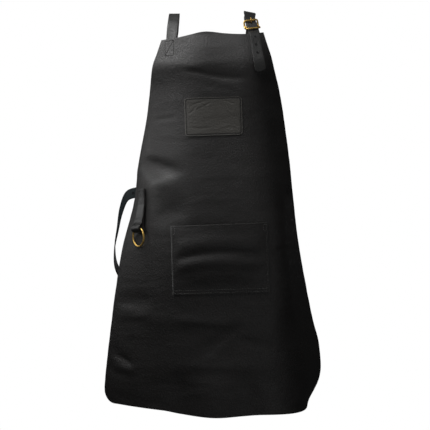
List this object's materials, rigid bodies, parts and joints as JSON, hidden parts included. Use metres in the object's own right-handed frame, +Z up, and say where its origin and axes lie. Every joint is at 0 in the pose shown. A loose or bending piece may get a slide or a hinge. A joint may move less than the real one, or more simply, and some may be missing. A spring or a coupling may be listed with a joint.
{
  "type": "leather apron",
  "caption": "Black leather work apron with a bib, a patch pocket, a plain badge, a buckled neck strap, a slack waist strap and a brass tool ring on a tab.",
  "frame": {"origin": "the nape of the wearer's neck, on the inner face of the neck strap where it crosses the back", "axes": "+X to the viewer's right as seen from the front, +Y towards the wearer's back, +Z up"},
  "size_m": [0.5128, 0.31, 0.9397],
  "materials": {
    "leather": "smooth grained black hide",
    "strap_leather": "smooth black strap hide",
    "badge_leather": "plain dark hide",
    "brass": "polished"
  },
  "bodies": {
    "apron": {"apron_panel": "leather", "pocket": "leather", "badge": "badge_leather", "neck_strap": "strap_leather", "neck_buckle_tab": "strap_leather", "neck_buckle": "brass", "neck_buckle_tongue": "brass", "tool_tab": "strap_leather", "waist_strap": "strap_leather", "waist_tab": "strap_leather", "waist_buckle": "brass"},
    "ring": {"tool_ring": "brass"}
  },
  "joints": [
    {"name": "ring_swing", "type": "hinge", "parent": "apron", "child": "ring", "pos_m": [-0.17189, -0.15358, -0.43889], "axis": [-0.7715, 0.6296, -0.0912], "range_deg": [0, 165]}
  ]
}
